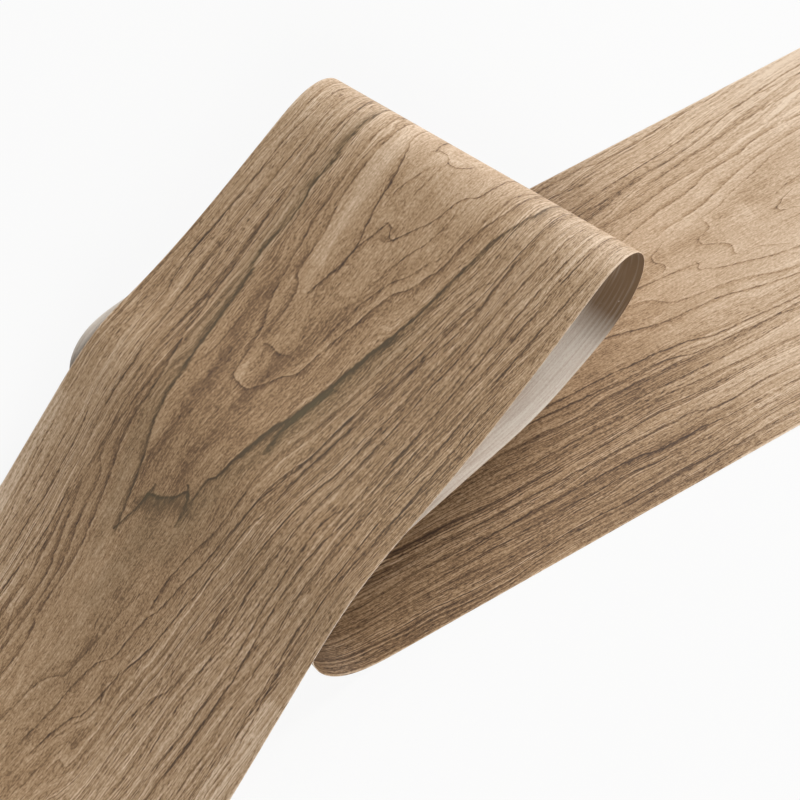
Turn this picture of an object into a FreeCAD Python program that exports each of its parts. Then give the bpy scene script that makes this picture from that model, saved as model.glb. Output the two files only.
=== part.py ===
import FreeCAD, Part
import math
import os

# Wood veneer sheet: one long strip, wood face up, laid in a loose S fold with both ends flat on the floor.
# All sizes are millimetres and degrees. The strip is described as it would be unrolled:
# "place" is measured along its middle line from the middle of the first bend.

# strip
sheet_width = 200.0
wood_thickness = 0.3
backing_thickness = 0.2
lower_tail_length = 1000.0
upper_tail_length = 1500.0

# first bend, at the left, lifts the strip up and back over itself
first_length = 133.0
first_turn_deg = 191.7
first_slant_deg = 10.2
first_fade_share = 0.62

# the doubled-back part settles towards the lower strip
settle_place = 173.5
settle_length = 70.0
settle_turn_deg = -19.4
settle_slant_deg = 4.1

# second bend, at the right, turns the wood face up again
second_place = 265.5
second_length = 135.5
second_turn_deg = -185.7
second_slant_deg = -1.6
second_fade_share = 1.0

# shallow sag of the top run
sag_place = 422.5
sag_length = 205.0
sag_turn_deg = 14.5
sag_slant_deg = 2.0

# drop over the back of the first bend
drop_place = 482.5
drop_length = 91.0
drop_turn_deg = -27.8
drop_slant_deg = -9.8

# last fold, where the top run meets the floor and lies flat
foot_length = 160.0

# fineness of the build
march_step = 0.5
patch_turn_deg = 8.0
patch_length = 12.0
sew_tolerance = 0.0001

up = FreeCAD.Vector(0, 0, 1)


def hump(place, length, softness):
    """Share of a fold's turn spent per millimetre: level in the middle, fading out over its ends."""
    distance = abs(place) / (length / 2.0)
    if distance >= 1.0:
        return 0.0
    area = length * (1.0 - softness / 2.0)
    if distance <= 1.0 - softness:
        return 1.0 / area
    fade = (distance - 1.0 + softness) / softness
    return 0.5 * (1.0 + math.cos(math.pi * fade)) / area


class Fold:
    def __init__(self, place, length, turn, slant, softness=1.0):
        self.place = place
        self.length = length
        self.turn = math.radians(turn)
        self.slope = math.tan(math.radians(slant))
        self.softness = softness

    def curvature(self, place):
        return self.turn * hump(place - self.place, self.length, self.softness)

    def start(self):
        return self.place - self.length / 2.0

    def end(self):
        return self.place + self.length / 2.0


class Station:
    """One straight line across the strip, with the strip's direction and wood side there."""

    def __init__(self, place, point, along, normal, across, slope):
        self.place = place
        self.point = point
        self.along = along
        self.normal = normal
        self.across = across
        self.slope = slope

    def corner(self, side, height):
        ruling = self.across + self.along * self.slope
        return self.point + ruling * (side * sheet_width / 2.0) + self.normal * height

    def stepped(self, distance, curvature, slope):
        ruling = self.across + self.along * slope
        turn = math.degrees(curvature * distance * ruling.Length)
        whole = FreeCAD.Rotation(ruling, turn)
        half = FreeCAD.Rotation(ruling, turn / 2.0)
        point = self.point + half.multVec(self.along) * distance
        along = whole.multVec(self.along)
        normal = whole.multVec(self.normal)
        across = whole.multVec(self.across)
        return Station(self.place + distance, point, along, normal, across, slope)


def slope_at(folds, place):
    """Slant of the straight line across the strip, blended from fold to fold."""
    if place <= folds[0].place:
        return folds[0].slope
    for before, after in zip(folds, folds[1:]):
        if place <= after.place:
            share = (place - before.place) / (after.place - before.place)
            return before.slope + (after.slope - before.slope) * share
    return folds[-1].slope


def curved_run(station, folds, end_place, slope_of):
    """Stations from here to end_place, a new one after every few degrees of turn."""
    run = [station]
    count = int(round((end_place - station.place) / march_step))
    distance = (end_place - station.place) / count
    turned = 0.0
    travelled = 0.0
    for index in range(count):
        middle = station.place + distance / 2.0
        bend = sum(fold.curvature(middle) for fold in folds)
        turned += abs(math.degrees(bend * distance))
        travelled += distance
        station = station.stepped(distance, bend, slope_of(middle))
        station.slope = slope_of(station.place)
        if turned >= patch_turn_deg or travelled >= patch_length or index == count - 1:
            run.append(station)
            turned = 0.0
            travelled = 0.0
    return run


def flat_step(station, distance, slope):
    return station.stepped(distance, 0.0, slope)


def levelling_fold(station):
    """The fold that turns a sloping flat run level: its line is the level line of the strip."""
    line = station.normal.cross(up)
    tilt = math.atan2(line.Length, station.normal.dot(up))
    line.normalize()
    if line.dot(station.across) < 0:
        line = line * -1.0
        tilt = -tilt
    slope = line.dot(station.along) / line.dot(station.across)
    turn = tilt / math.sqrt(1.0 + slope * slope)
    return Fold(foot_length / 2.0, foot_length, math.degrees(turn), math.degrees(math.atan(slope)))


def strip_runs():
    """The strip as runs of stations; a run of two stations that is flat, or a curved run."""
    folds = [
        Fold(0.0, first_length, first_turn_deg, first_slant_deg, first_fade_share),
        Fold(settle_place, settle_length, settle_turn_deg, settle_slant_deg),
        Fold(second_place, second_length, second_turn_deg, second_slant_deg, second_fade_share),
        Fold(sag_place, sag_length, sag_turn_deg, sag_slant_deg),
        Fold(drop_place, drop_length, drop_turn_deg, drop_slant_deg),
    ]
    cut_end = Station(
        -lower_tail_length,
        FreeCAD.Vector(lower_tail_length, 0, 0),
        FreeCAD.Vector(-1, 0, 0),
        up,
        FreeCAD.Vector(0, 1, 0),
        0.0,
    )
    bend_start = flat_step(cut_end, folds[0].start() - cut_end.place, folds[0].slope)
    fold_run = curved_run(bend_start, folds, folds[-1].end(), lambda place: slope_at(folds, place))

    slope_start = fold_run[-1]
    foot = levelling_fold(slope_start)
    trial = Station(0.0, FreeCAD.Vector(0, 0, 0), slope_start.along, slope_start.normal, slope_start.across, foot.slope)
    foot_rise = curved_run(trial, [foot], foot_length, lambda place: foot.slope)[-1].point.z
    slope_length = (slope_start.point.z + foot_rise) / -slope_start.along.z
    foot_start = flat_step(slope_start, slope_length, foot.slope)
    foot.place += foot_start.place
    foot_run = curved_run(foot_start, [foot], foot.end(), lambda place: foot.slope)
    far_end = flat_step(foot_run[-1], upper_tail_length - foot_run[-1].place, 0.0)
    return [
        (False, [cut_end, bend_start]),
        (True, fold_run),
        (False, [slope_start, foot_start]),
        (True, foot_run),
        (False, [foot_run[-1], far_end]),
    ]


def curved_edge(first, last, side, height):
    """One long edge of a patch: leaves along the sheet's direction at one station, arrives along it at the next."""
    start = first.corner(side, height)
    end = last.corner(side, height)
    reach = (end - start).Length / 3.0
    curve = Part.BezierCurve()
    curve.setPoles([start, start + first.along * reach, end - last.along * reach, end])
    return curve.toShape()


def flat_face(corners):
    return Part.Face(Part.makePolygon(corners + corners[:1]))


def corner_lines(low, high):
    """The four long lines of a layer's section, in order round it."""
    return [(-1, low), (1, low), (1, high), (-1, high)]


def flat_patch(first, last, low, high):
    """Bottom, top and the two long edges of a flat stretch."""
    lines = corner_lines(low, high)
    faces = []
    for line, other in zip(lines, lines[1:] + lines[:1]):
        corners = [first.corner(*line), last.corner(*line), last.corner(*other), first.corner(*other)]
        faces.append(flat_face(corners))
    return faces


def curved_patches(run, low, high):
    """The same four faces for every patch of a curved stretch."""
    faces = []
    for first, last in zip(run, run[1:]):
        edges = [curved_edge(first, last, side, height) for side, height in corner_lines(low, high)]
        for edge, other in zip(edges, edges[1:] + edges[:1]):
            faces.append(Part.makeRuledSurface(edge, other))
    return faces


def end_cap(station, low, high):
    return flat_face([station.corner(*line) for line in corner_lines(low, high)])


def layer(runs, low, high):
    """One layer of the sheet, between two heights above the glue line."""
    faces = [end_cap(runs[0][1][0], low, high), end_cap(runs[-1][1][-1], low, high)]
    for curved, run in runs:
        if curved:
            faces += curved_patches(run, low, high)
        else:
            faces += flat_patch(run[0], run[-1], low, high)
    shell = Part.makeCompound(faces)
    shell.sewShape(sew_tolerance)
    solid = Part.makeSolid(shell.Shells[0])
    if solid.Volume < 0:
        solid.reverse()
    return solid


def place_on_floor(shapes):
    """Moves the origin to the middle of the whole sheet's box, at floor level."""
    box = FreeCAD.BoundBox()
    for shape in shapes.values():
        box.add(shape.optimalBoundingBox(False, False))
    shift = FreeCAD.Vector(-box.Center.x, -box.Center.y, -box.ZMin)
    for shape in shapes.values():
        shape.translate(shift)
    return shift


runs = strip_runs()
shapes = {
    "veneer_leaf": layer(runs, 0.0, wood_thickness),
    "fleece_backing": layer(runs, -backing_thickness, 0.0),
}
shift = place_on_floor(shapes)

os.makedirs("parts", exist_ok=True)
for node, shape in shapes.items():
    print(node, "solids", len(shape.Solids), "faces", len(shape.Faces), "valid", shape.isValid(), shape.Volume)
    shape.exportStep("parts/" + node + ".step")
print("origin shift", shift, "last turn", runs[3][1][0].place, runs[3][1][-1].place)
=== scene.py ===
import bpy
import bmesh
import math
from mathutils import Matrix, Vector


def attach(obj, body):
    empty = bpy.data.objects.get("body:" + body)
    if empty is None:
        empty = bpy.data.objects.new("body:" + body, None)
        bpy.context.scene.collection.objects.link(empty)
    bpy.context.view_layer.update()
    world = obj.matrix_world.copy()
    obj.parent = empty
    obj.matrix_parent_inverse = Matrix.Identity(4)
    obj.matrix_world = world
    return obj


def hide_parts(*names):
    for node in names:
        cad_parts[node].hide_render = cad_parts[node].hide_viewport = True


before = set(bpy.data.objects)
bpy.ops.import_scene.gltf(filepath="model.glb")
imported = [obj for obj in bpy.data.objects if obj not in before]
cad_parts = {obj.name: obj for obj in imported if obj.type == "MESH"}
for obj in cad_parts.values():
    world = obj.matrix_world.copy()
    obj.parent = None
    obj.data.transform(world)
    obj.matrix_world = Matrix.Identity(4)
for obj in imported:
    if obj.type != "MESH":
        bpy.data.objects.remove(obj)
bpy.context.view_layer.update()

# The sheet is modelled flat, as it would lie unrolled, and then folded.
# "Place" is measured along its middle line from the middle of the first bend.
sheet = {
    "width": 0.2,
    "lowerRun": 1.0,             # from the first bend to the cut end of the lower run
    "upperRun": 1.5,             # from the first bend to the cut end of the tail
    "wood": 0.0003,
    "fleece": 0.0002,
    "origin": (-0.0379227, 0.1421850, 0.0002029),    # where the first bend's middle lay before it was folded
    "creaseTurn": 2.0,           # degrees that one crease turns at most
    "creaseGap": 0.006,          # and the furthest that two creases lie apart
    "measure": 0.0005,           # step over which the turn is added up
}
folds = {                        # place, length, turn, slant across the sheet, share of the length that fades
    "firstBend": (0.0, 0.133, 191.7, 10.2, 0.62),
    "settle": (0.1735, 0.070, -19.4, 4.1, 1.0),
    "secondBend": (0.2655, 0.1355, -185.7, -1.6, 1.0),
    "sag": (0.4225, 0.205, 14.5, 2.0, 1.0),
    "drop": (0.4825, 0.091, -27.8, -9.8, 1.0),
}
footFold = {"foot": (0.63163, 0.160, 23.865, -12.341, 1.0)}    # lays the tail flat on the floor


def selectNothing():
    if bpy.context.object and bpy.context.object.mode != "OBJECT":
        bpy.ops.object.mode_set(mode="OBJECT")
    bpy.ops.object.select_all(action="DESELECT")


def makeActive(obj):
    selectNothing()
    obj.select_set(True)
    bpy.context.view_layer.objects.active = obj


def bendShare(distance, length, fade):
    # share of a fold's turn spent per metre: level in the middle, fading out over its ends
    reach = abs(distance) / (length / 2)
    if reach >= 1:
        return 0.0
    area = length * (1 - fade / 2)
    if reach <= 1 - fade:
        return 1 / area
    return 0.5 * (1 + math.cos(math.pi * (reach - 1 + fade) / fade)) / area


def slantAt(place, group):
    # slant blends from fold to fold
    ordered = sorted(group.values())
    if place <= ordered[0][0]:
        return math.tan(math.radians(ordered[0][3]))
    for near, far in zip(ordered, ordered[1:]):
        if place <= far[0]:
            share = (place - near[0]) / (far[0] - near[0])
            nearSlant = math.tan(math.radians(near[3]))
            return nearSlant + (math.tan(math.radians(far[3])) - nearSlant) * share
    return math.tan(math.radians(ordered[-1][3]))


def creaseList(group):
    # (place, slant, turn) of every crease of these folds
    start = min(place - length / 2 for place, length, turn, slant, fade in group.values())
    end = max(place + length / 2 for place, length, turn, slant, fade in group.values())
    count = round((end - start) / sheet["measure"])
    creases = []
    turned = spread = weight = travelled = 0.0
    for index in range(count):
        place = start + (index + 0.5) * sheet["measure"]
        bend = 0.0
        for middle, length, turn, slant, fade in group.values():
            bend += math.radians(turn) * bendShare(place - middle, length, fade) * sheet["measure"]
        turned += bend
        spread += abs(bend)
        weight += abs(bend) * place
        travelled += sheet["measure"]
        full = spread >= math.radians(sheet["creaseTurn"]) or travelled >= sheet["creaseGap"] - 1e-9
        if full or index == count - 1:
            if spread > 0:
                middle = weight / spread
                slant = slantAt(middle, group)
                creases.append((middle, slant, turned * math.sqrt(1 + slant * slant)))
            turned = spread = weight = travelled = 0.0
    return creases


def flatSheet():
    # one plane, wood side up; a place further along the sheet lies further towards -X
    selectNothing()
    ox, oy, oz = sheet["origin"]
    length = sheet["lowerRun"] + sheet["upperRun"]
    middle = (sheet["lowerRun"] - sheet["upperRun"]) / 2
    bpy.ops.mesh.primitive_plane_add(size=1, location=(ox + middle, oy, oz))
    flat = bpy.context.object
    flat.scale = (length, sheet["width"], 1)
    bpy.ops.object.transform_apply(location=True, rotation=False, scale=True)
    return flat


def markCreases(flat, creases):
    ox, oy, oz = sheet["origin"]
    makeActive(flat)
    bpy.ops.object.mode_set(mode="EDIT")
    for place, slant, turn in creases:
        bpy.ops.mesh.select_all(action="SELECT")
        bpy.ops.mesh.bisect(plane_co=(ox - place, oy, oz), plane_no=(1, slant, 0))
    bpy.ops.object.mode_set(mode="OBJECT")


def foldSheet(flat, creases):
    # from the far crease back to the first one: all that lies beyond a crease turns about it
    ox, oy, oz = sheet["origin"]
    spots = [(ox - vertex.co.x, vertex.co.y - oy) for vertex in flat.data.vertices]
    makeActive(flat)
    bpy.ops.object.mode_set(mode="EDIT")
    bpy.ops.mesh.select_mode(type="VERT")
    for place, slant, turn in sorted(creases, reverse=True):
        mesh = bmesh.from_edit_mesh(flat.data)
        for vertex, (along, across) in zip(mesh.verts, spots):
            vertex.select = along - slant * across > place + 1e-6
        mesh.select_flush_mode()
        bmesh.update_edit_mesh(flat.data)
        line = Vector((-slant, 1, 0)).normalized()
        other = Vector((0, 0, 1))
        axes = Matrix((other.cross(line), other, line)).transposed()
        bpy.ops.transform.rotate(
            value=turn, orient_axis="Z", orient_type="GLOBAL", orient_matrix=axes,
            orient_matrix_type="GLOBAL", constraint_axis=(False, False, True),
            center_override=(ox - place, oy, oz))
    bpy.ops.object.mode_set(mode="OBJECT")


def thicken(name, folded, thickness, side):
    # one layer of the sheet, on one side of the glue line
    selectNothing()
    layer = folded.copy()
    layer.data = folded.data.copy()
    bpy.context.scene.collection.objects.link(layer)
    layer.name = name
    layer.data.name = name
    makeActive(layer)
    solid = layer.modifiers.new("thickness", "SOLIDIFY")
    solid.thickness = thickness
    solid.offset = side
    solid.use_even_offset = True
    bpy.ops.object.modifier_apply(modifier=solid.name)
    bpy.ops.object.shade_smooth_by_angle(angle=math.radians(30))
    return layer


print("folding the sheet")
creases = creaseList(folds) + creaseList(footFold)
folded = flatSheet()
markCreases(folded, creases)
foldSheet(folded, creases)
walnutLeaf = thicken("walnutLeaf", folded, sheet["wood"], 1)
fleeceBacking = thicken("fleeceBacking", folded, sheet["fleece"], -1)
bpy.data.objects.remove(folded)
print("creases", len(creases), "leaf faces", len(walnutLeaf.data.polygons))


# materials

def addNode(tree, kind, feeds=None, **settings):
    node = tree.nodes.new("ShaderNode" + kind)
    for name, value in settings.items():
        setattr(node, name, value)
    for socket, value in (feeds or {}).items():
        if isinstance(value, bpy.types.NodeSocket):
            tree.links.new(value, node.inputs[socket])
        else:
            node.inputs[socket].default_value = value
    return node


def maths(tree, operation, first, second=0.0, third=0.0, clamp=False):
    node = addNode(tree, "Math", {0: first, 1: second, 2: third}, operation=operation, use_clamp=clamp)
    return node.outputs[0]


def ranged(tree, value, low, high, toLow=0.0, toHigh=1.0, smooth=False):
    kind = "SMOOTHSTEP" if smooth else "LINEAR"
    node = addNode(tree, "MapRange", {0: value, 1: low, 2: high, 3: toLow, 4: toHigh},
                   interpolation_type=kind)
    return node.outputs[0]


def mixed(tree, share, first, second, blend="MIX"):
    node = addNode(tree, "Mix", {0: share, 6: first, 7: second}, data_type="RGBA", blend_type=blend)
    return node.outputs[2]


def noise(tree, vector, long, wide, detail=2, roughness=0.5, offset=(0, 0, 0)):
    # long and wide are the size of its patches in millimetres, along and across the sheet
    placed = addNode(tree, "Mapping", {"Vector": vector, "Scale": (1 / long, 1 / wide, 1),
                                       "Location": offset})
    node = addNode(tree, "TexNoise", {"Vector": placed.outputs[0], "Scale": 1, "Detail": detail,
                                      "Roughness": roughness}, noise_dimensions="2D")
    return node.outputs["Fac"]


def curveOf(tree, value, points, low, high):
    # a smooth curve through points (value in, value out); low and high bound what comes out
    first = points[0][0]
    last = points[-1][0]
    node = addNode(tree, "FloatCurve", {"Value": ranged(tree, value, first, last)})
    curve = node.mapping.curves[0]
    spots = [((into - first) / (last - first), (out - low) / (high - low)) for into, out in points]
    curve.points[0].location = spots[0]
    curve.points[1].location = spots[-1]
    for spot in spots[1:-1]:
        curve.points.new(*spot)
    node.mapping.update()
    return ranged(tree, node.outputs[0], 0.0, 1.0, low, high)


def fillRamp(ramp, colours):
    # colours as (position, colour), in order
    stops = ramp.color_ramp.elements
    stops[0].position, stops[0].color = colours[0]
    stops[1].position, stops[1].color = colours[-1]
    for position, colour in colours[1:-1]:
        stops.new(position).color = colour


def rgb(red, green, blue):
    # colour as a screen shows it, 0 to 255
    def linear(value):
        value = value / 255
        return value / 12.92 if value <= 0.04045 else ((value + 0.055) / 1.055) ** 2.4
    return (linear(red), linear(green), linear(blue), 1.0)


def newMaterial(name):
    material = bpy.data.materials.new(name)
    material.use_nodes = True
    tree = material.node_tree
    tree.nodes.clear()
    return material, tree


def sheetPlace(tree):
    # place along and across the sheet in millimetres, from the sheet's own UV map
    uvMap = addNode(tree, "UVMap", uv_map="UVMap")
    length = (sheet["lowerRun"] + sheet["upperRun"]) * 1000
    width = sheet["width"] * 1000
    placed = addNode(tree, "Mapping", {"Vector": uvMap.outputs[0], "Scale": (-length, width, 1),
                                       "Location": (sheet["upperRun"] * 1000, -width / 2, 0)})
    return placed.outputs[0]


walnut = {
    # a tone is 0 for the darkest wood and 1 for the palest
    "tones": [(0.0, rgb(66, 46, 32)), (0.3, rgb(123, 94, 65)), (0.5, rgb(172, 140, 104)),
              (0.75, rgb(207, 178, 147)), (1.0, rgb(238, 214, 187))],
    # by place in mm: tone of plain wood, with painted light in it (the lower run paler beyond -200 for the
    # key light's nearness and sheen, a painted highlight on the second bend's crest near 285), how much paler
    # its flanks are, how strongly fibres and pores show, and how far across the sheet the heart of the figure
    # lies
    "middle": [(-1000, 0.68), (-700, 0.76), (-450, 0.90), (-400, 0.84), (-300, 0.70), (-200, 0.47),
               (0, 0.46), (230, 0.58), (285, 0.69), (320, 0.57), (370, 0.505), (440, 0.445),
               (500, 0.455), (540, 0.49), (600, 0.52), (900, 0.53), (1500, 0.52)],
    "flank": [(-1000, 0.08), (-300, 0.04), (-150, 0), (0, 0.03), (320, 0.03), (440, 0.07),
              (520, 0.12), (700, 0.12), (1500, 0.08)],
    "crisp": [(-1000, 0.85), (-420, 0.85), (-330, 0.9), (-230, 1.0), (1500, 1.0)],
    "heart": [(-1000, 5), (-700, 25), (-400, 20), (-250, 12), (0, 0), (300, 5), (400, 12),
              (500, 14), (650, 20), (900, 0), (1200, -15), (1500, 0)],
    "flankStart": 22,            # mm from the heart
    "flankEnd": 60,
    "ringGrowth": 11.5,          # how fast the arches move along the sheet
    "ringStep": 640.0,           # how far apart the rings are
    "ringSpread": 3.0,           # how much their spacing changes
    "ringStretch": 120.0,        # how wide the textures that follow them are
    "point": 12.0,               # how pointed the arches are
    # what bends the rings: size along and across in mm, offset, and how far it moves them
    "strays": {
        "slow": (160, 50, (0, 0, 0), 5),
        "fine": (30, 9, (7, 3, 0), 0.6),
        "tiny": (4, 3, (1, 9, 0), 0.3),
        "uneven": (45, 14, (21, 4, 0), 500),
    },
    # size along and across in mm, detail, roughness, how much it lightens and darkens
    "straightTexture": {
        "grit": (1.8, 0.8, 2, 0.65, 0.6),
        "fibres": (16, 0.9, 3, 0.6, 0.48),
        "mottle": (15, 7, 2, 0.5, 0.11),
        "broad": (240, 24, 2, 0.5, 0.2),
    },
    "ringTexture": {             # the same, following the rings
        "threads": (170, 0.9, 3, 0.6, 0.72),
        "bands": (220, 5.0, 2, 0.5, 0.26),
    },
    # size along and across in mm, detail, roughness, offset
    "pores": (4.5, 0.6, 2, 0.6, (31, 5, 0)),
    "poreCrowds": (60, 7, 2, 0.5, (11, 2, 0)),
    "lineBreaks": (12, 2.5, 3, 0.6, (17, 6, 0)),
    "lineDepth": 0.42,           # how much lines, pores and pale lines change the tone
    "poreDepth": 0.26,
    "paleDepth": 0.2,
    "green": rgb(92, 82, 55),    # mineral streaks
    "greenShare": 0.45,
    "edgePale": 0.2,             # how much paler the cut edges are
    "edgeStart": 1.0,            # mm from the cut where that starts, and where it is full
    "edgeEnd": 0.2,
    "roughness": 0.48,
    "darkRoughness": 0.68,
    "relief": 0.0001,
}
lineKinds = {
    # profile of a line over its width, soft side first, its middle at 0.6: place, darkening, paling, green
    "ring": [(0.0, 0, 0, 0), (0.25, 0.18, 0, 0), (0.45, 0.38, 0, 0), (0.54, 0.6, 0, 0), (0.6, 0.88, 0, 0),
             (0.66, 0.45, 0.15, 0), (0.73, 0, 0.5, 0), (0.82, 0, 0.4, 0), (1.0, 0, 0, 0)],
    "green": [(0.0, 0, 0, 0.1), (0.25, 0.14, 0, 0.3), (0.44, 0.45, 0, 0.45), (0.53, 0.85, 0, 0.55),
              (0.6, 1.12, 0, 0.55), (0.68, 0.6, 0, 0.4), (0.78, 0.08, 0.3, 0.15), (0.97, 0, 0, 0)],
    "fine": [(0.1, 0, 0, 0), (0.4, 0.2, 0, 0), (0.52, 0.5, 0, 0), (0.58, 0.95, 0, 0), (0.64, 0.9, 0, 0),
             (0.71, 0.3, 0.1, 0), (0.8, 0.05, 0.35, 0), (1.0, 0, 0, 0)],
    "flecks": [(0.1, 0, 0, 0), (0.4, 0.04, 0.14, 0.25), (0.6, 0.08, 0.14, 0.36), (0.85, 0.04, 0.14, 0.25),
               (1.0, 0, 0, 0)],
    "shade": [(0.0, 0, 0, 0), (0.35, 0.22, 0, 0), (0.6, 0.32, 0, 0), (0.8, 0.22, 0, 0), (1.0, 0, 0, 0)],
    "pale": [(0.1, 0, 0, 0), (0.4, 0, 0.8, 0), (0.6, 0, 1, 0), (0.8, 0, 0.8, 0), (1.0, 0, 0, 0)],
}
lineMiddle = 0.6                 # where a line's middle lies in its profile
lineFade = 0.07                  # share of a line's length over which each end fades
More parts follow.
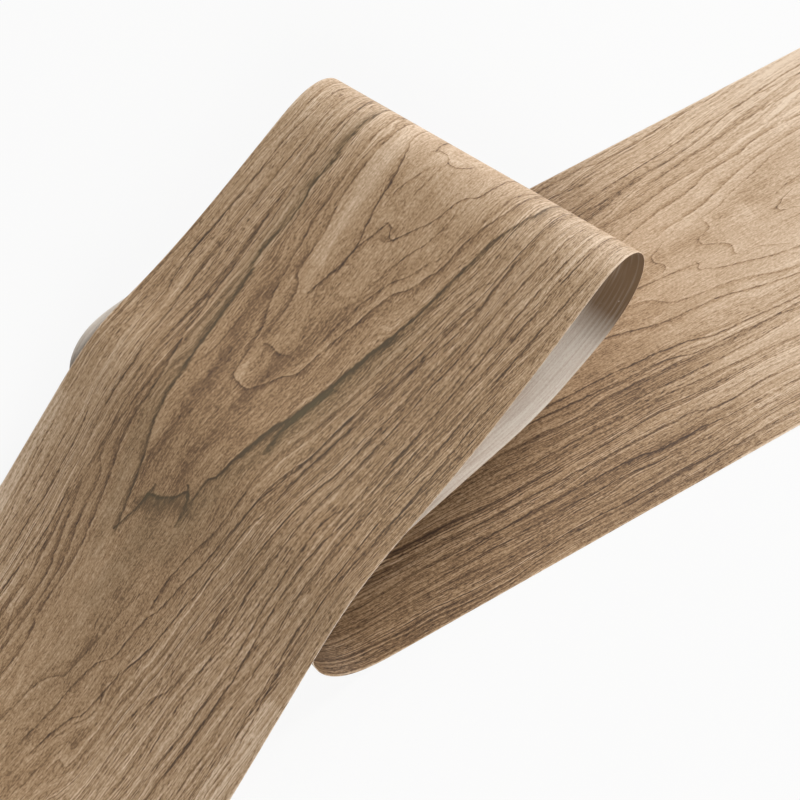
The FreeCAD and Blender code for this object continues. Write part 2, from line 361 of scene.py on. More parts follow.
grainLines = [
    # kind, width in mm, depth, side that is crisp (1 towards the far edge), points (along, across) in mm
    # upper run, the great arch with its mineral streak
    ("green", 6, 0.95, -1, [(262, 60), (288, 59.4), (312, 59.4), (329, 58.1), (340, 59.4), (349, 57.5),
        (363, 56.9), (381, 58.1), (391, 56.9), (398, 54.8), (410, 53.5), (439, 49.7), (457, 46),
        (484, 41.4), (507, 34), (526, 30), (539, 27.4), (545, 25)]),
    ("green", 6, 1.0, 1, [(262, -51), (289, -50.7), (301, -47.9), (312, -44.3), (321, -41.4), (332, -39.7),
        (355, -35.7), (372, -33.1), (389, -29.5), (406, -25.5), (419, -23.6), (436, -19.7), (450, -17.1),
        (457, -14), (480, -8.9), (493, -6.4), (498, -3), (512, -1.8)]),
    ("green", 6, 0.8, 1, [(425, -24), (440, -20), (452, -18), (460, -18), (472, -19)]),
    ("green", 4, 0.9, 1, [(512, 20.5), (520, 21.8), (529, 23.6), (535, 25.8), (542, 28)]),
    ("green", 4, 0.9, 1, [(503, 4.5), (508, 1.4), (511, 0), (517, -0.9), (524, -1.4)]),
    ("flecks", 14, 0.75, 1, [(290, 62), (340, 61.5), (400, 58), (440, 53), (484, 47), (526, 37),
        (560, 30)]),
    ("flecks", 14, 0.8, 1, [(370, -40), (420, -29), (460, -21), (500, -10), (545, -2)]),
    ("flecks", 22, 0.55, 1, [(515, 12), (530, 11), (560, 14), (580, 20)]),
    ("pale", 22, 1.5, 1, [(560, -93), (610, -91), (660, -89), (700, -89), (800, -93)]),
    ("pale", 14, 1.2, 1, [(500, 97), (560, 95), (640, 94), (700, 94), (800, 96)]),
    ("shade", 14, 0.6, 1, [(330, 52), (370, 50), (400, 45), (430, 37), (460, 32), (500, 30), (530, 28.5)]),
    ("shade", 9, 0.4, 1, [(425, 34), (460, 31), (480, 29), (515, 31)]),
    ("green", 9, 0.75, 1, [(385, -31), (406, -25.5), (436, -19.7), (457, -14.5), (480, -9.5)]),
    ("pale", 60, 0.4, 1, [(440, 92), (500, 88), (580, 80), (700, 70), (900, 60)]),
    ("shade", 14, 0.45, 1, [(350, -12), (390, -1), (420, 6), (440, 8), (480, 10), (510, 12)]),
    ("shade", 9, 0.9, 1, [(305, 61), (313, 61.5), (322, 61)]),
    ("shade", 9, 1.0, 1, [(304, 27), (313, 26), (324, 24)]),
    ("shade", 9, 1.3, 1, [(337, 3), (342, 5), (349, 6.5)]),
    # inside the arch
    ("ring", 6, 0.6, -1, [(262, 50), (320, 48.1), (350, 46.3), (375, 41.9), (388, 39.4), (400, 36.9),
        (410, 33.1), (420, 28.8), (436, 25.5), (450, 23)]),
    ("ring", 6, 0.65, -1, [(262, 43), (316, 41.9), (331, 41.7), (344, 40), (356, 37.5), (365, 35.6),
        (385, 34.4), (388, 31.9), (391, 28.8), (400, 26.3), (410, 25), (424, 24)]),
    ("pale", 14, 0.6, 1, [(262, 38), (300, 37), (340, 34), (375, 29), (395, 22), (410, 16), (426, 14)]),
    ("pale", 6, 0.6, 1, [(424, 22.5), (435, 22), (448, 19.5)]),
    ("fine", 4, 0.35, 1, [(408, 45), (421, 42.6), (436, 41.7), (452, 43.5)]),
    ("fine", 4, 0.9, -1, [(262, 35), (283, 33.1), (291, 32.5), (300, 29.4), (308, 26.3), (318, 23.8),
        (331, 22.5), (340, 21), (350, 18.8), (363, 16.5), (376, 16.5)]),
    ("fine", 4, 1.0, 1, [(337, 9.8), (343, 11.9), (350, 13.8), (360, 16.3), (368, 16.8), (378, 19),
        (392, 22)]),
    ("fine", 4, 1.0, 1, [(262, -26), (289, -23), (300, -21.3), (304, -20), (309, -14.4), (318, -11.3),
        (325, -9.4), (335, -3.8), (343, 1), (348, 4.5)]),
    ("fine", 4, 0.6, 1, [(262, 21), (275, 20), (285, 18.5), (293, 17)]),
    ("fine", 4, 0.5, 1, [(302, 12), (308, 13.8), (316, 16.9), (329, 19.5)]),
    ("fine", 4, 0.4, 1, [(293, 7.2), (306, 8), (320, 9)]),
    ("fine", 4, 0.5, 1, [(318, -16), (334, -14.8), (345, -10.6), (355, -6.9), (370, -3.8)]),
    ("fine", 4, 0.45, 1, [(344, -22), (358, -16.3), (365, -11.3), (375, -7.5), (390, -3.8), (412, -1)]),
    ("fine", 4, 0.5, 1, [(318, -27.2), (331, -26.3), (345, -23)]),
    ("ring", 6, 0.75, 1, [(262, -41), (284, -40), (300, -38.1), (310, -35.6), (318, -32.5), (330, -30),
        (345, -28.1), (353, -25), (363, -21.3), (370, -15.6), (380, -12.5), (392, -10), (412, -5.6),
        (426, -4), (430, -2.6), (434, 1.5), (440, 5), (451, 12.5)]),
    # far edge
    ("fine", 4, 0.9, -1, [(280, 86.5), (312, 88), (328, 89.4), (363, 89.1), (381, 89.4), (400, 90),
        (411, 89), (430, 85.5)]),
    ("fine", 4, 0.6, -1, [(270, 90.5), (285, 91.5), (306, 93.2)]),
    ("fine", 4, 0.55, -1, [(262, 79.3), (310, 80), (340, 79.7), (370, 79.4), (410, 78.5), (440, 75.4),
        (457, 73.6), (471, 70.7), (491, 69.7), (530, 65)]),
    ("ring", 6, 0.7, -1, [(262, 68), (286, 68.5), (312, 69.4), (340, 70), (368, 68.8), (379, 66.9),
        (400, 65), (419, 63), (437, 60.7), (450, 57.4), (480, 52.1), (500, 50.7), (523, 46), (550, 40.4),
        (561, 39.1), (590, 40), (598, 39.8), (603, 37.9), (630, 36.3), (680, 35)]),
    ("ring", 6, 0.55, -1, [(470, 56), (489, 57), (506, 58), (514, 57.4), (520, 53.9), (526, 51.3),
        (540, 49.1), (552, 47.3), (566, 44.1), (580, 43.5), (608, 44.5), (640, 42)]),
    ("fine", 4, 0.8, -1, [(500, 81.5), (532, 81), (545, 80.9), (560, 80), (590, 80.6)]),
    ("fine", 4, 1.1, -1, [(500, 78.5), (517, 74.8), (526, 74.1), (538, 73.5), (552, 73.4), (563, 74.1),
        (590, 74), (610, 74.5)]),
    ("fine", 4, 0.8, 1, [(538, 64), (549, 62.5), (570, 62.3), (580, 63.4), (600, 65.6), (640, 70)]),
    ("ring", 6, 0.65, -1, [(535, 61.5), (544, 60), (557, 58.1), (570, 56.9), (583, 56.3), (598, 56.6),
        (640, 57)]),
    ("ring", 6, 0.65, -1, [(530, 60), (538, 57.5), (548, 54.8), (558, 52.5), (570, 49.8), (583, 48.5),
        (610, 49.4), (650, 48)]),
    ("fine", 4, 0.7, -1, [(515, 92), (540, 91), (560, 90), (580, 88)]),
    ("fine", 4, 0.6, -1, [(530, 87.5), (550, 87.5), (575, 85), (600, 84)]),
    # plain part behind the arch
    ("ring", 6, 0.4, -1, [(556, -6.5), (570, -0.6), (581, 1.9), (600, 5.6), (611, 7.5), (614, 11),
        (620, 16.3), (626, 18.5), (635, 19.8), (660, 24)]),
    ("fine", 4, 0.7, 1, [(490, -24.5), (514, -22.1), (526, -18.3), (539, -15), (551, -13.1), (562, -13.6)]),
    ("fine", 4, 0.75, 1, [(400, -43), (430, -41.1), (459, -38.6), (479, -35.4), (494, -31.7), (510, -29.7),
        (531, -25), (545, -21), (558, -17.8), (570, -13.1), (580, -11), (590, -9.4), (595, -5.6),
        (600, -2.5), (618, 1.3), (650, 5.5)]),
    ("fine", 4, 0.9, 1, [(472, -40.5), (490, -39.6), (501, -36.4), (521, -33.9), (539, -31.9), (552, -28.8),
        (570, -25.6), (583, -21.9), (600, -16.3), (620, -12.5), (626, -8.1), (650, -2)]),
    # near edge
    ("fine", 4, 0.55, 1, [(262, -58), (309, -57.1), (335, -55.5), (343, -51.1), (361, -46.4), (381, -43.6),
        (404, -40.7), (419, -37.9), (450, -34)]),
    ("ring", 6, 0.7, 1, [(262, -62.5), (281, -61.1), (309, -58.5), (346, -57.2), (366, -56.3), (381, -53.5),
        (396, -50), (418, -47), (439, -44.5), (461, -42.1), (482, -40)]),
    ("fine", 4, 0.5, 1, [(352, -55.4), (358, -52.9), (368, -51.4), (395, -46.4), (418, -43.6), (439, -40)]),
    ("fine", 4, 0.8, 1, [(285, -72.9), (304, -71.4), (322, -68.9), (346, -66.7), (379, -64.7), (396, -63.1),
        (418, -61.7), (449, -60.7), (479, -58.3), (507, -56), (521, -54.6), (539, -54.3), (551, -55.1),
        (580, -52.9), (620, -53)]),
    ("ring", 6, 0.55, 1, [(355, -63), (381, -60.3), (398, -57.1), (418, -56), (451, -55.3), (461, -54.3),
        (477, -50.7), (516, -48.1), (559, -46.7), (576, -46), (586, -44.3), (591, -41.4), (596, -38),
        (618, -32), (640, -27)]),
    ("fine", 4, 0.9, 1, [(262, -80), (304, -79.3), (320, -78), (332, -76.4), (361, -75), (404, -73.6),
        (425, -72.6), (445, -73.8), (459, -75), (466, -76.5)]),
    ("fine", 4, 0.5, 1, [(436, -68.5), (450, -69.3), (459, -71.4), (463, -73.1), (468, -78)]),
    ("fine", 4, 0.8, 1, [(466, -72), (473, -68.6), (487, -65.4), (523, -65), (566, -65), (590, -63.1),
        (620, -59)]),
    ("fine", 4, 1.1, 1, [(470, -75), (487, -72.1), (493, -70.7), (520, -69.6), (551, -70.3), (573, -70),
        (600, -67.6), (620, -66)]),
    ("fine", 4, 0.6, 1, [(262, -86.5), (300, -85.2), (332, -82.9), (375, -80), (404, -78.6), (439, -77.9),
        (455, -79)]),
    ("fine", 4, 0.6, 1, [(465, -80.5), (487, -78.3), (530, -77.1), (553, -77.4), (600, -75)]),
    ("fine", 4, 0.8, 1, [(308, -94), (329, -91.6), (361, -88.5), (404, -86), (447, -86), (487, -87.1),
        (516, -85.7), (559, -86.4), (600, -87)]),
    ("fine", 4, 0.85, 1, [(385, -93.5), (411, -92.1), (439, -91.9), (476, -91.4), (504, -88.9),
        (539, -88.1), (586, -89.6), (620, -89)]),
    # lower run, far edge
    ("fine", 4, 0.6, -1, [(-460, 83), (-432, 85), (-400, 85.5), (-383, 84.7), (-350, 81.3), (-318, 78),
        (-280, 75.3), (-200, 68)]),
    ("fine", 4, 0.6, -1, [(-390, 98.3), (-357, 96.7), (-343, 95), (-323, 93.7), (-308, 94.2), (-300, 95.8),
        (-277, 95.8), (-230, 92)]),
    ("fine", 4, 0.55, -1, [(-300, 85.3), (-275, 87.5), (-240, 86)]),
    ("ring", 6, 0.45, -1, [(-460, 74), (-430, 75.5), (-400, 74.5), (-383, 73), (-370, 70.8), (-350, 69),
        (-315, 65)]),
    ("fine", 4, 0.55, -1, [(-350, 72.5), (-327, 73.7), (-317, 71.7), (-300, 70), (-282, 68.8), (-220, 62)]),
    ("ring", 6, 0.45, -1, [(-460, 64), (-423, 66.7), (-392, 65.5), (-377, 63), (-350, 60), (-330, 59.2),
        (-303, 55.8), (-287, 56.3), (-230, 50)]),
    ("ring", 6, 0.6, -1, [(-450, 57), (-418, 60.5), (-407, 61.2), (-377, 57), (-360, 55.8), (-343, 50.8),
        (-317, 47), (-292, 43), (-240, 36)]),
    ("ring", 6, 0.7, -1, [(-440, 50), (-413, 52.5), (-400, 51.3), (-383, 49.5), (-370, 47), (-347, 40.8),
        (-330, 37.5), (-310, 35)]),
    ("fine", 4, 0.5, -1, [(-410, 48), (-395, 46.2), (-380, 42.5), (-360, 37.5), (-343, 32.5),
        (-330, 30.5)]),
    # its heart
    ("shade", 22, 1.0, 1, [(-430, 26), (-400, 29), (-378, 28), (-360, 25)]),
    ("shade", 14, 0.8, 1, [(-425, 44), (-395, 42), (-365, 34), (-340, 27)]),
    ("shade", 9, 0.5, 1, [(-425, 14), (-400, 15), (-380, 14.5), (-360, 13)]),
    ("shade", 14, 0.7, 1, [(-335, 20), (-315, 22), (-295, 20), (-275, 16)]),
    ("fine", 4, 0.6, 1, [(-430, 26), (-410, 28), (-395, 26.3), (-383, 25), (-377, 22.5)]),
    ("fine", 4, 0.4, 1, [(-420, 0), (-395, 4), (-378, 5.3), (-362, 6.2)]),
    ("fine", 4, 0.7, 1, [(-400, -17), (-375, -13), (-357, -10), (-343, -5.8), (-330, -2), (-319, 3)]),
    ("fine", 4, 0.6, 1, [(-319, 8), (-303, 10), (-290, 11.2), (-268, 13)]),
    ("ring", 6, 0.5, 1, [(-400, -27), (-355, -20.3), (-333, -13.3), (-320, -10), (-298, -6.7), (-288, -1.7),
        (-283, 2.5), (-268, 5.5), (-230, 8)]),
    ("fine", 4, 0.75, 1, [(-400, -31), (-357, -25.3), (-330, -20), (-314, -15.8), (-290, -14.2),
        (-274, -11), (-250, -5), (-200, 2)]),
    # its near edge
    ("fine", 4, 1.0, 1, [(-380, -40), (-346, -37.6), (-328, -36), (-302, -34), (-290, -30.4), (-280, -28.4),
        (-250, -25.6), (-218, -24), (-150, -20)]),
    ("fine", 4, 0.75, 1, [(-380, -47), (-344, -43), (-330, -40.4), (-290, -38), (-270, -33), (-250, -31.4),
        (-200, -28), (-140, -25)]),
    ("fine", 4, 0.5, 1, [(-360, -59), (-334, -57), (-286, -52.4), (-250, -50), (-150, -47)]),
    ("ring", 6, 0.4, 1, [(-310, -60), (-258, -57), (-230, -57.5), (-170, -56), (-120, -54), (-60, -52)]),
    ("fine", 4, 0.65, 1, [(-340, -72), (-302, -69), (-280, -69.4), (-266, -66), (-250, -64.6),
        (-190, -63.6), (-120, -62)]),
    ("fine", 4, 1.0, 1, [(-340, -80), (-302, -77.4), (-280, -77), (-262, -75.6), (-242, -75), (-218, -72),
        (-162, -71), (-120, -71.6)]),
    ("fine", 4, 0.5, 1, [(-330, -85), (-290, -82), (-250, -81), (-190, -77.5), (-120, -78)]),
    ("fine", 4, 0.6, 1, [(-306, -92.4), (-280, -92.4), (-250, -90.6), (-190, -90), (-120, -89)]),
]
crossLines = [
    # lines that run across the grain: kind, width, depth, side that is crisp (1 towards the tail),
    # points (across, along)
    ("green", 6, 1.0, -1, [(0, 509), (2.4, 507), (5, 509.5), (7.9, 512.9), (11, 514.5), (15, 516.4),
        (18.5, 517.3), (22.5, 519.5)]),
    ("shade", 14, 1.3, -1, [(-5, 516), (1, 514), (7, 516), (13, 521), (20, 523), (27, 528)]),
    ("flecks", 14, 1.0, -1, [(-5, 514), (1, 512), (7, 514), (13, 519), (20, 521), (27, 526)]),
    ("ring", 6, 0.75, -1, [(10, 448.5), (14, 449.6), (18, 449.2), (21, 448.2), (24, 446)]),
    ("ring", 6, 0.55, -1, [(7, 423), (12, 425.5), (16, 425), (20, 424.5), (24, 426)]),
    ("fine", 4, 0.8, -1, [(0, 341.5), (1.5, 343.5), (3.8, 346), (7.5, 340), (10.6, 339.4), (13, 344)]),
    ("fine", 4, 0.7, -1, [(-9, 279), (-4.4, 288.8), (1.3, 295), (4, 296), (6.9, 295.6), (8.8, 292.5),
        (13.1, 290), (17.5, 292)]),
    ("ring", 6, 0.9, -1, [(9, -384), (10, -382), (14.5, -373), (16.5, -376), (18.8, -380), (21.5, -388)]),
    ("ring", 6, 0.6, -1, [(-8, -366), (-3.3, -357), (0, -350), (1.3, -342), (3.3, -337), (7.5, -338.7),
        (10.8, -337), (15, -330), (19.2, -326), (22.5, -330), (26.7, -336), (31, -332)]),
    ("ring", 6, 0.6, -1, [(11.5, -288), (13.7, -299), (16.7, -302), (21.7, -299), (25.8, -303),
        (30, -314)]),
    ("fine", 4, 0.7, -1, [(1.5, -322), (2.5, -320), (5, -316), (7.5, -317.5), (9.2, -317)]),
]


def pathCurve(tree, value, points):
    # a smooth curve through points whose values may lie outside 0 to 1, level before and after them
    node = addNode(tree, "FloatCurve", {"Value": value})
    node.mapping.use_clip = False
    node.mapping.extend = "HORIZONTAL"
    curve = node.mapping.curves[0]
    curve.points[0].location = points[0]
    curve.points[1].location = points[-1]
    for spot in points[1:-1]:
        curve.points.new(*spot)
    node.mapping.update()
    return node.outputs[0]


def profileGroup(kind):
    # one ramp for each kind of line, shared by all the lines of that kind
    if kind in bpy.data.node_groups:
        return bpy.data.node_groups[kind]
    group = bpy.data.node_groups.new(kind, "ShaderNodeTree")
    group.interface.new_socket("place", in_out="INPUT", socket_type="NodeSocketFloat")
    group.interface.new_socket("amounts", in_out="OUTPUT", socket_type="NodeSocketColor")
    into = group.nodes.new("NodeGroupInput")
    out = group.nodes.new("NodeGroupOutput")
    ramp = addNode(group, "ValToRGB", {"Fac": into.outputs[0]})
    group.links.new(ramp.outputs[0], out.inputs[0])
    fillRamp(ramp, [(place, (*amounts, 1)) for place, *amounts in lineKinds[kind]])
    return group


def linesOf(tree, total, first, second, lines):
    # adds each line's darkening, paling and green to the total
    # first is the place along the lines, second the place across them
    scaled = {}
    for kind, width, depth, side, points in lines:
        if (width, side) not in scaled:
            scaled[width, side] = maths(tree, "MULTIPLY", second, side / width)
    for kind, width, depth, side, points in lines:
        start = points[0][0]
        length = points[-1][0] - start
        share = maths(tree, "MULTIPLY_ADD", first, 1 / length, -start / length)
        path = [((into - start) / length, out * side / width - lineMiddle) for into, out in points]
        off = maths(tree, "SUBTRACT", scaled[width, side], pathCurve(tree, share, path))
        profile = addNode(tree, "Group", {0: off}, node_tree=profileGroup(kind))
        strength = pathCurve(tree, share, [(0, 0), (lineFade, depth), (1 - lineFade, depth), (1, 0)])
        total = mixed(tree, strength, total, profile.outputs[0], "ADD")
    return total


def makeWalnut():
    material, tree = newMaterial("walnutVeneer")
    place = sheetPlace(tree)
    parts = addNode(tree, "SeparateXYZ", {0: place})
    along, across = parts.outputs[0], parts.outputs[1]

    # growth rings: nested arches round a wandering heart line
    strays = {}
    for name, (long, wide, offset, reach) in walnut["strays"].items():
        strays[name] = ranged(tree, noise(tree, place, long, wide, offset=offset), 0.2, 0.8, -reach, reach)
    wiggle = strays["fine"]
    jitter = maths(tree, "ADD", wiggle, strays["tiny"])
    wander = maths(tree, "ADD", strays["slow"], wiggle)
    heart = curveOf(tree, along, walnut["heart"], -50, 50)
    offCentre = maths(tree, "ADD", maths(tree, "SUBTRACT", across, heart), wander)
    fromHeart = maths(tree, "ABSOLUTE", offCentre)
    flank = ranged(tree, fromHeart, walnut["flankStart"], walnut["flankEnd"], smooth=True)
    # the arches are pointed, and uneven near the heart line
    spread = maths(tree, "MULTIPLY", offCentre, offCentre)
    spread = maths(tree, "MULTIPLY_ADD", fromHeart, walnut["point"], spread)
    arch = maths(tree, "MULTIPLY_ADD", along, walnut["ringGrowth"], spread)
    arch = maths(tree, "MULTIPLY_ADD", strays["uneven"], ranged(tree, flank, 0, 1, 1, 0.12), arch)
    ring = maths(tree, "DIVIDE", arch, walnut["ringStep"])
    spacing = addNode(tree, "TexNoise", {"W": maths(tree, "MULTIPLY", ring, 0.45), "Detail": 1},
                      noise_dimensions="1D")
    ring = maths(tree, "MULTIPLY_ADD", spacing.outputs["Fac"], walnut["ringSpread"], ring)
    shade = maths(tree, "FRACT", ring)
    which = addNode(tree, "TexWhiteNoise", {"W": maths(tree, "FLOOR", ring)}, noise_dimensions="1D")
    # each ring is dark and crisp at its start, softly shaded behind it and pale before the next one
    ringLine = maths(tree, "ADD", ranged(tree, shade, 0.0, 0.22, 0.8, 0),
                     ranged(tree, shade, 0.1, 0.7, 0.35, 0))
    weight = maths(tree, "MULTIPLY", ranged(tree, flank, 0, 1, 0.2, 1),
                   ranged(tree, which.outputs["Value"], 0, 1, 0.1, 0.9))
    ringDark = maths(tree, "MULTIPLY", ringLine, weight)
    ringPale = maths(tree, "MULTIPLY", ranged(tree, shade, 0.78, 0.97, 0, 0.6), weight)

    # the lines that stand out in the figure
    bentAcross = maths(tree, "ADD", across, jitter)
    bentAlong = maths(tree, "ADD", along, jitter)
    total = linesOf(tree, (0, 0, 0, 1), bentAlong, bentAcross, grainLines)
    total = linesOf(tree, total, bentAcross, bentAlong, crossLines)
    rings = addNode(tree, "CombineColor", {0: ringDark, 1: ringPale, 2: 0.0}).outputs[0]
    sums = addNode(tree, "SeparateColor", {0: mixed(tree, 1.0, total, rings, "ADD")})
    dark, pale, green = sums.outputs[0], sums.outputs[1], sums.outputs[2]

    # fibres and pores, drawn out along the sheet
    fibrePlace = addNode(tree, "CombineXYZ", {0: along, 1: maths(tree, "ADD", across, wiggle)}).outputs[0]
    ringOff = maths(tree, "DIVIDE", arch, walnut["ringStretch"])
    ringPlace = addNode(tree, "CombineXYZ", {0: along, 1: ringOff}).outputs[0]
    # plain tone of the wood, with painted light: the lower run paler for the key light and its sheen, and a
    # painted highlight on the second bend's crest
    tone = curveOf(tree, along, walnut["middle"], 0.4, 1.0)
    tone = maths(tree, "MULTIPLY_ADD", curveOf(tree, along, walnut["flank"], 0, 0.2), flank, tone)
    # the tone is paler within a millimetre of the cut edges
    cut = sheet["width"] * 500
    paleShare = ranged(tree, maths(tree, "ABSOLUTE", across), cut - walnut["edgeStart"], cut - walnut["edgeEnd"],
                  0, walnut["edgePale"])
    tone = maths(tree, "ADD", tone, paleShare)
    crisp = curveOf(tree, along, walnut["crisp"], 0, 1)
    calm = maths(tree, "MULTIPLY", crisp, ranged(tree, flank, 0, 1, 0.4, 1.35))
    for texture, layerPlace, share in [
            ("straightTexture", fibrePlace, crisp),
            ("ringTexture", ringPlace, calm)]:
        for index, (long, wide, detail, roughness, strength) in enumerate(walnut[texture].values()):
            layer = noise(tree, layerPlace, long, wide, detail, roughness, (3 * index, 5 * index, 0))
            layer = ranged(tree, layer, 0, 1, -strength / 2, strength / 2)
            tone = maths(tree, "MULTIPLY_ADD", layer, share, tone)
    pores = noise(tree, place, *walnut["pores"])
    crowds = noise(tree, fibrePlace, *walnut["poreCrowds"])
    breaks = noise(tree, place, *walnut["lineBreaks"])
    poreDark = maths(tree, "MULTIPLY", ranged(tree, pores, 0.5, 0.68),
                     ranged(tree, crowds, 0.3, 0.65, 0.3, 1))
    poreDark = maths(tree, "MULTIPLY", poreDark, ranged(tree, flank, 0, 1, 0.5, 1.2))
    poreDark = maths(tree, "MULTIPLY", poreDark, crisp)
    lineDark = maths(tree, "MULTIPLY", dark, ranged(tree, pores, 0.25, 0.6, 0.7, 1.15))
    lineDark = maths(tree, "MULTIPLY", lineDark, ranged(tree, breaks, 0.3, 0.6, 0.65, 1.25))
    tone = maths(tree, "SUBTRACT", tone, maths(tree, "MULTIPLY", lineDark, walnut["lineDepth"]))
    tone = maths(tree, "SUBTRACT", tone, maths(tree, "MULTIPLY", poreDark, walnut["poreDepth"]))
    tone = maths(tree, "ADD", tone, maths(tree, "MULTIPLY", pale, walnut["paleDepth"]), clamp=True)
    toneRamp = addNode(tree, "ValToRGB", {"Fac": tone})
    fillRamp(toneRamp, walnut["tones"])
    greenShare = maths(tree, "MULTIPLY", green, walnut["greenShare"], clamp=True)
    colour = mixed(tree, greenShare, toneRamp.outputs[0], walnut["green"])

    relief = addNode(tree, "Bump", {"Height": ranged(tree, pores, 0.5, 0.68, 1, 0),
                                    "Distance": walnut["relief"], "Strength": 0.5})
    gloss = ranged(tree, tone, 0, 1, walnut["darkRoughness"], walnut["roughness"])
    shader = addNode(tree, "BsdfPrincipled", {"Base Color": colour, "Roughness": gloss,
                                              "Normal": relief.outputs[0]})
    addNode(tree, "OutputMaterial", {"Surface": shader.outputs[0]})
    return material


fleece = {
    "pale": rgb(255, 247, 235),
    "dark": rgb(225, 209, 194),
    "speck": rgb(246, 238, 226),
    # brown of the fleece's faint tint and of the painted shade in the two bends
    "brownForTintAndShade": rgb(122, 97, 71),
    # by place in mm, how brown the fleece is: painted shade on the outside of the first bend (-60 to 60) and
    # inside the second bend (212 to 300), over a faint tint of its own elsewhere
    "tintAndPaintedShade": [(-1000, 0.04), (-130, 0.04), (-60, 0.28), (60, 0.28), (110, 0.04), (195, 0.0), (212, 0.25),
              (226, 0.75), (240, 1.0), (270, 1.0), (300, 0.6), (350, 0.1), (1500, 0.04)],
    # size along and across in mm, detail, roughness, offset
    "streaks": (45, 1.3, 3, 0.6, (0, 0, 0)),
    "felt": (1.6, 0.7, 3, 0.6, (3, 8, 0)),
    "clouds": (60, 18, 2, 0.5, (9, 2, 0)),
    "specks": (5, 3, 1, 0.5, (40, 7, 0)),
    "roughness": 0.85,
    "relief": 0.0001,
}


def makeFleece():
    material, tree = newMaterial("paleFleece")
    place = sheetPlace(tree)
    along = addNode(tree, "SeparateXYZ", {0: place}).outputs[0]
    streaks = noise(tree, place, *fleece["streaks"])
    felt = noise(tree, place, *fleece["felt"])
    clouds = noise(tree, place, *fleece["clouds"])
    specks = noise(tree, place, *fleece["specks"])
    paleShare = maths(tree, "MULTIPLY_ADD", felt, 0.5, maths(tree, "MULTIPLY", streaks, 0.9))
    colour = mixed(tree, ranged(tree, paleShare, 0.5, 0.9), fleece["dark"], fleece["pale"])
    # browner by place: painted shade in the two bends, a faint tint of the fleece elsewhere
    tintAndPaintedShade = curveOf(tree, along, fleece["tintAndPaintedShade"], 0, 1)
    tintAndPaintedShade = maths(tree, "ADD", tintAndPaintedShade, ranged(tree, clouds, 0.3, 0.7, -0.05, 0.07))
    tintAndPaintedShade = maths(tree, "MULTIPLY", tintAndPaintedShade, ranged(tree, streaks, 0.25, 0.7, 1.08, 0.88), clamp=True)
    colour = mixed(tree, tintAndPaintedShade, colour, fleece["brownForTintAndShade"])
    colour = mixed(tree, ranged(tree, specks, 0.8, 0.83, 0, 0.7), colour, fleece["speck"])
    relief = addNode(tree, "Bump", {"Height": felt, "Distance": fleece["relief"], "Strength": 0.5})
    shader = addNode(tree, "BsdfPrincipled", {"Base Color": colour, "Roughness": fleece["roughness"],
                                              "Normal": relief.outputs[0]})
    addNode(tree, "OutputMaterial", {"Surface": shader.outputs[0]})
    return material


print("materials")
for piece, node, slot, material in [
        (walnutLeaf, "veneer_leaf", "walnut_veneer", makeWalnut()),
        (fleeceBacking, "fleece_backing", "pale_fleece", makeFleece())]:
    piece.data.materials.clear()
    piece.data.materials.append(material)
    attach(piece, "root")
    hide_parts(node)


# floor, light and camera

studio = {
    "floorSize": 30.0,
    "floorDrop": 0.0003,         # how far the floor stays clear of the fleece
    "floor": rgb(238, 237, 235),
    "floorWhite": rgb(254, 254, 254),
    "floorShown": 0.9,           # how much of the floor that the picture shows is plain white
    "backdrop": rgb(253, 253, 253),
    "ambient": 0.22,
    "middle": (0.05, 0.12, 0.03),    # what the lamps point at
}
lamps = {                        # direction round the object, height, distance, size, power
    "keyLight": (20, 24, 3.0, 1.26, 82.0),
    "fillLight": (254, 29, 2.5, 1.1, 38.0),
}


def seenPlainly(tree):
    # 1 for what the camera sees, straight or in gloss or glass, and 0 for what lights the sheet
    rays = addNode(tree, "LightPath")
    seen = maths(tree, "ADD", rays.outputs["Is Camera Ray"], rays.outputs["Is Glossy Ray"])
    return maths(tree, "ADD", seen, rays.outputs["Is Transmission Ray"], clamp=True)


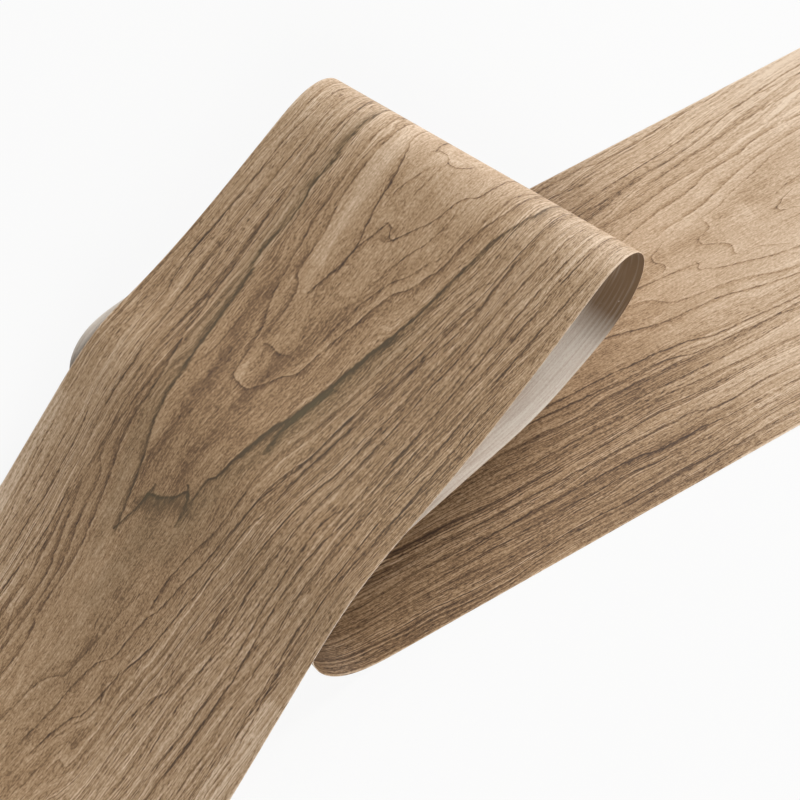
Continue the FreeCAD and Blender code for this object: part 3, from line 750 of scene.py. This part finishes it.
def makeFloor():
    selectNothing()
    bpy.ops.mesh.primitive_plane_add(size=studio["floorSize"], location=(0, 0, -studio["floorDrop"]))
    floor = bpy.context.object
    floor.name = "floor"
    bpy.ops.object.transform_apply(location=True, rotation=False, scale=False)
    material, tree = newMaterial("paleFloor")
    lit = addNode(tree, "BsdfDiffuse", {"Color": studio["floor"]})
    white = addNode(tree, "Emission", {"Color": studio["floorWhite"], "Strength": 1})
    share = maths(tree, "MULTIPLY", seenPlainly(tree), studio["floorShown"])
    shown = addNode(tree, "MixShader", {0: share, 1: lit.outputs[0], 2: white.outputs[0]})
    addNode(tree, "OutputMaterial", {"Surface": shown.outputs[0]})
    floor.data.materials.append(material)


def makeLight():
    middle = Vector(studio["middle"])
    for name, (around, height, distance, size, power) in lamps.items():
        around = math.radians(around)
        height = math.radians(height)
        towards = Vector((math.cos(around) * math.cos(height), math.sin(around) * math.cos(height),
                          math.sin(height)))
        selectNothing()
        bpy.ops.object.light_add(type="AREA", location=middle + towards * distance)
        lamp = bpy.context.object
        lamp.name = name
        lamp.data.shape = "SQUARE"
        lamp.data.size = size
        lamp.data.energy = power
        lamp.rotation_euler = (-towards).to_track_quat("-Z", "Y").to_euler()
    world = bpy.data.worlds.new("studioWorld")
    bpy.context.scene.world = world
    world.use_nodes = True
    tree = world.node_tree
    tree.nodes.clear()
    strength = ranged(tree, seenPlainly(tree), 0, 1, studio["ambient"], 1)
    back = addNode(tree, "Background", {"Color": studio["backdrop"], "Strength": strength})
    addNode(tree, "OutputWorld", {"Surface": back.outputs[0]})


view = {
    "turn": -18.42,              # degrees
    "height": 58.76,
    "roll": -12.35,
    "distance": 0.85771,
    "lens": 74.87,
    "sensor": 36,
    "target": (0.10546, 0.16294, 0.0002),
}


def makeCamera():
    turn = math.radians(view["turn"])
    height = math.radians(view["height"])
    roll = math.radians(view["roll"])
    back = Vector((math.sin(turn) * math.cos(height), -math.cos(turn) * math.cos(height), math.sin(height)))
    right = Vector((math.cos(turn), math.sin(turn), 0))
    up = back.cross(right)
    rolledRight = right * math.cos(roll) + up * math.sin(roll)
    rolledUp = up * math.cos(roll) - right * math.sin(roll)
    selectNothing()
    bpy.ops.object.camera_add(location=Vector(view["target"]) + back * view["distance"])
    camera = bpy.context.object
    camera.rotation_euler = Matrix((rolledRight, rolledUp, back)).transposed().to_euler()
    camera.data.sensor_fit = "HORIZONTAL"
    camera.data.sensor_width = view["sensor"]
    camera.data.lens = view["lens"]
    camera.data.clip_start = 0.01
    camera.data.clip_end = 50
    bpy.context.scene.camera = camera


print("floor, light, camera")
makeFloor()
makeLight()
makeCamera()
bpy.context.scene.view_settings.view_transform = "Standard"
